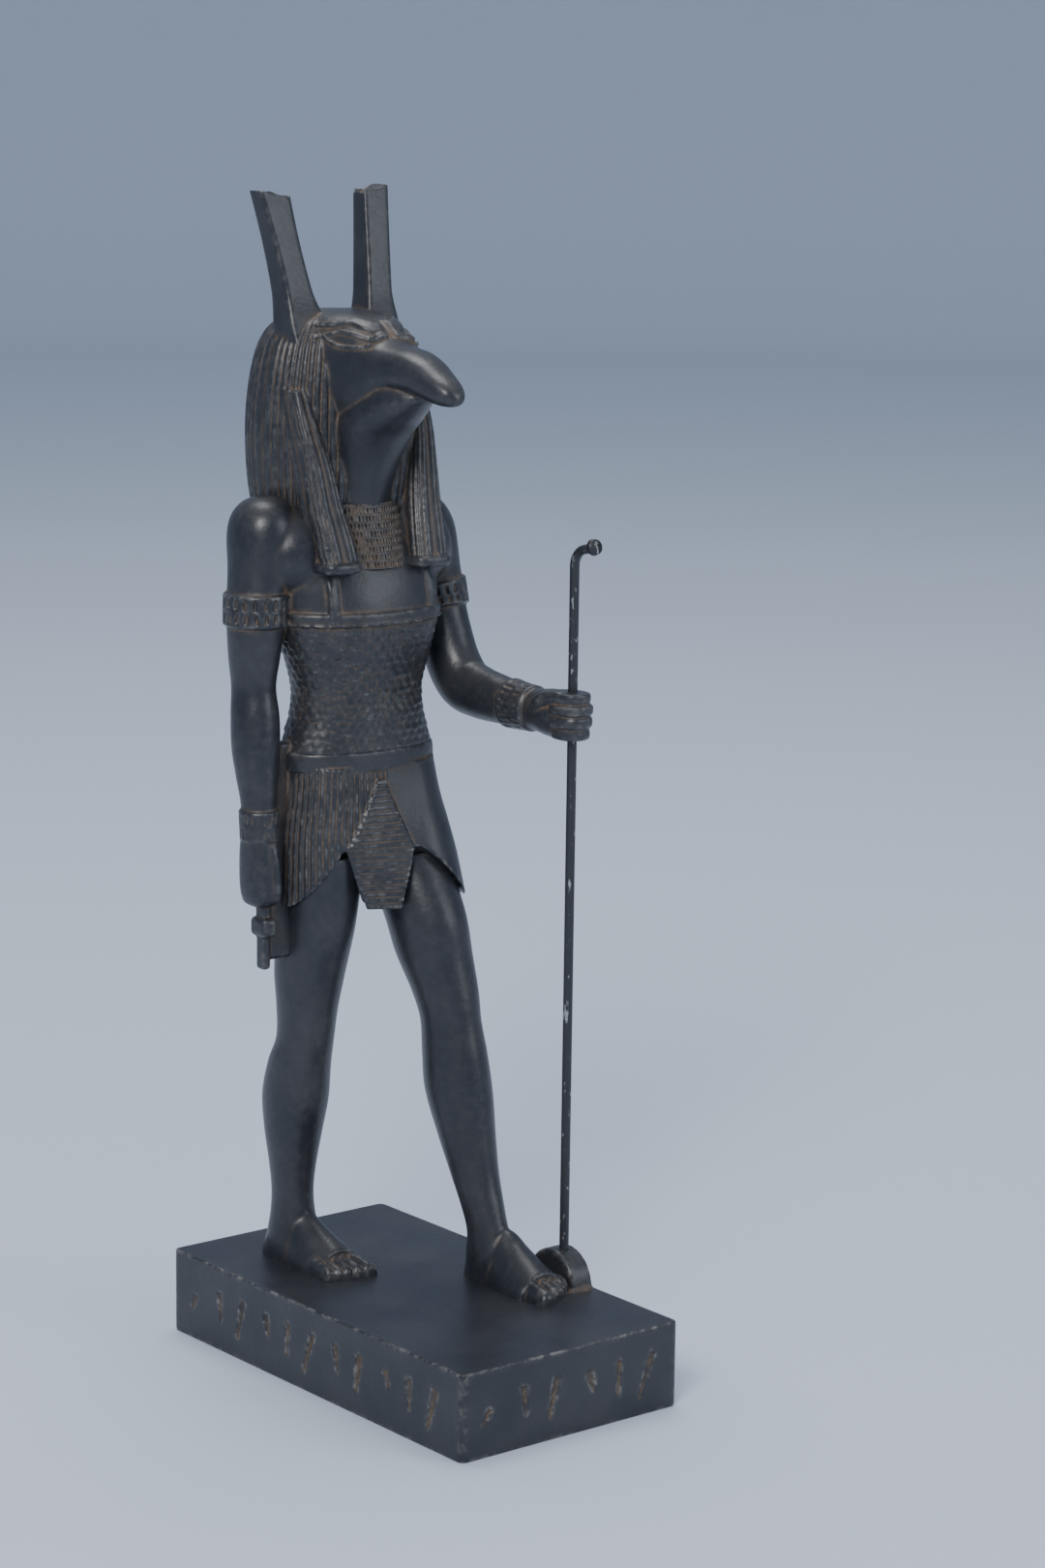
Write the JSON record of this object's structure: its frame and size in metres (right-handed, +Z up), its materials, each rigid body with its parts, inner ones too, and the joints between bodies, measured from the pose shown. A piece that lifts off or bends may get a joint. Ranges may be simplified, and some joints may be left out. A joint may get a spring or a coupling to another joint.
{
  "type": "egyptian god statue",
  "caption": "Striding animal-headed god figure with tall square ears, kilt and staff, standing on a rectangular base.",
  "frame": {"origin": "centre of the base's underside", "axes": "+Z up along the figure, the figure faces -Y, its right hand is on the -X side"},
  "size_m": [0.0721, 0.122, 0.2948],
  "materials": {
    "dark_cast_stone": "satin, near-black blue grey, with brown patina rubbed into the hollows and pale worn edges",
    "painted_rod": "thin black paint, chipped to pale metal along the edges and at the foot"
  },
  "bodies": {
    "root": {"statue_casting": "dark_cast_stone", "staff": "painted_rod"}
  },
  "joints": []
}
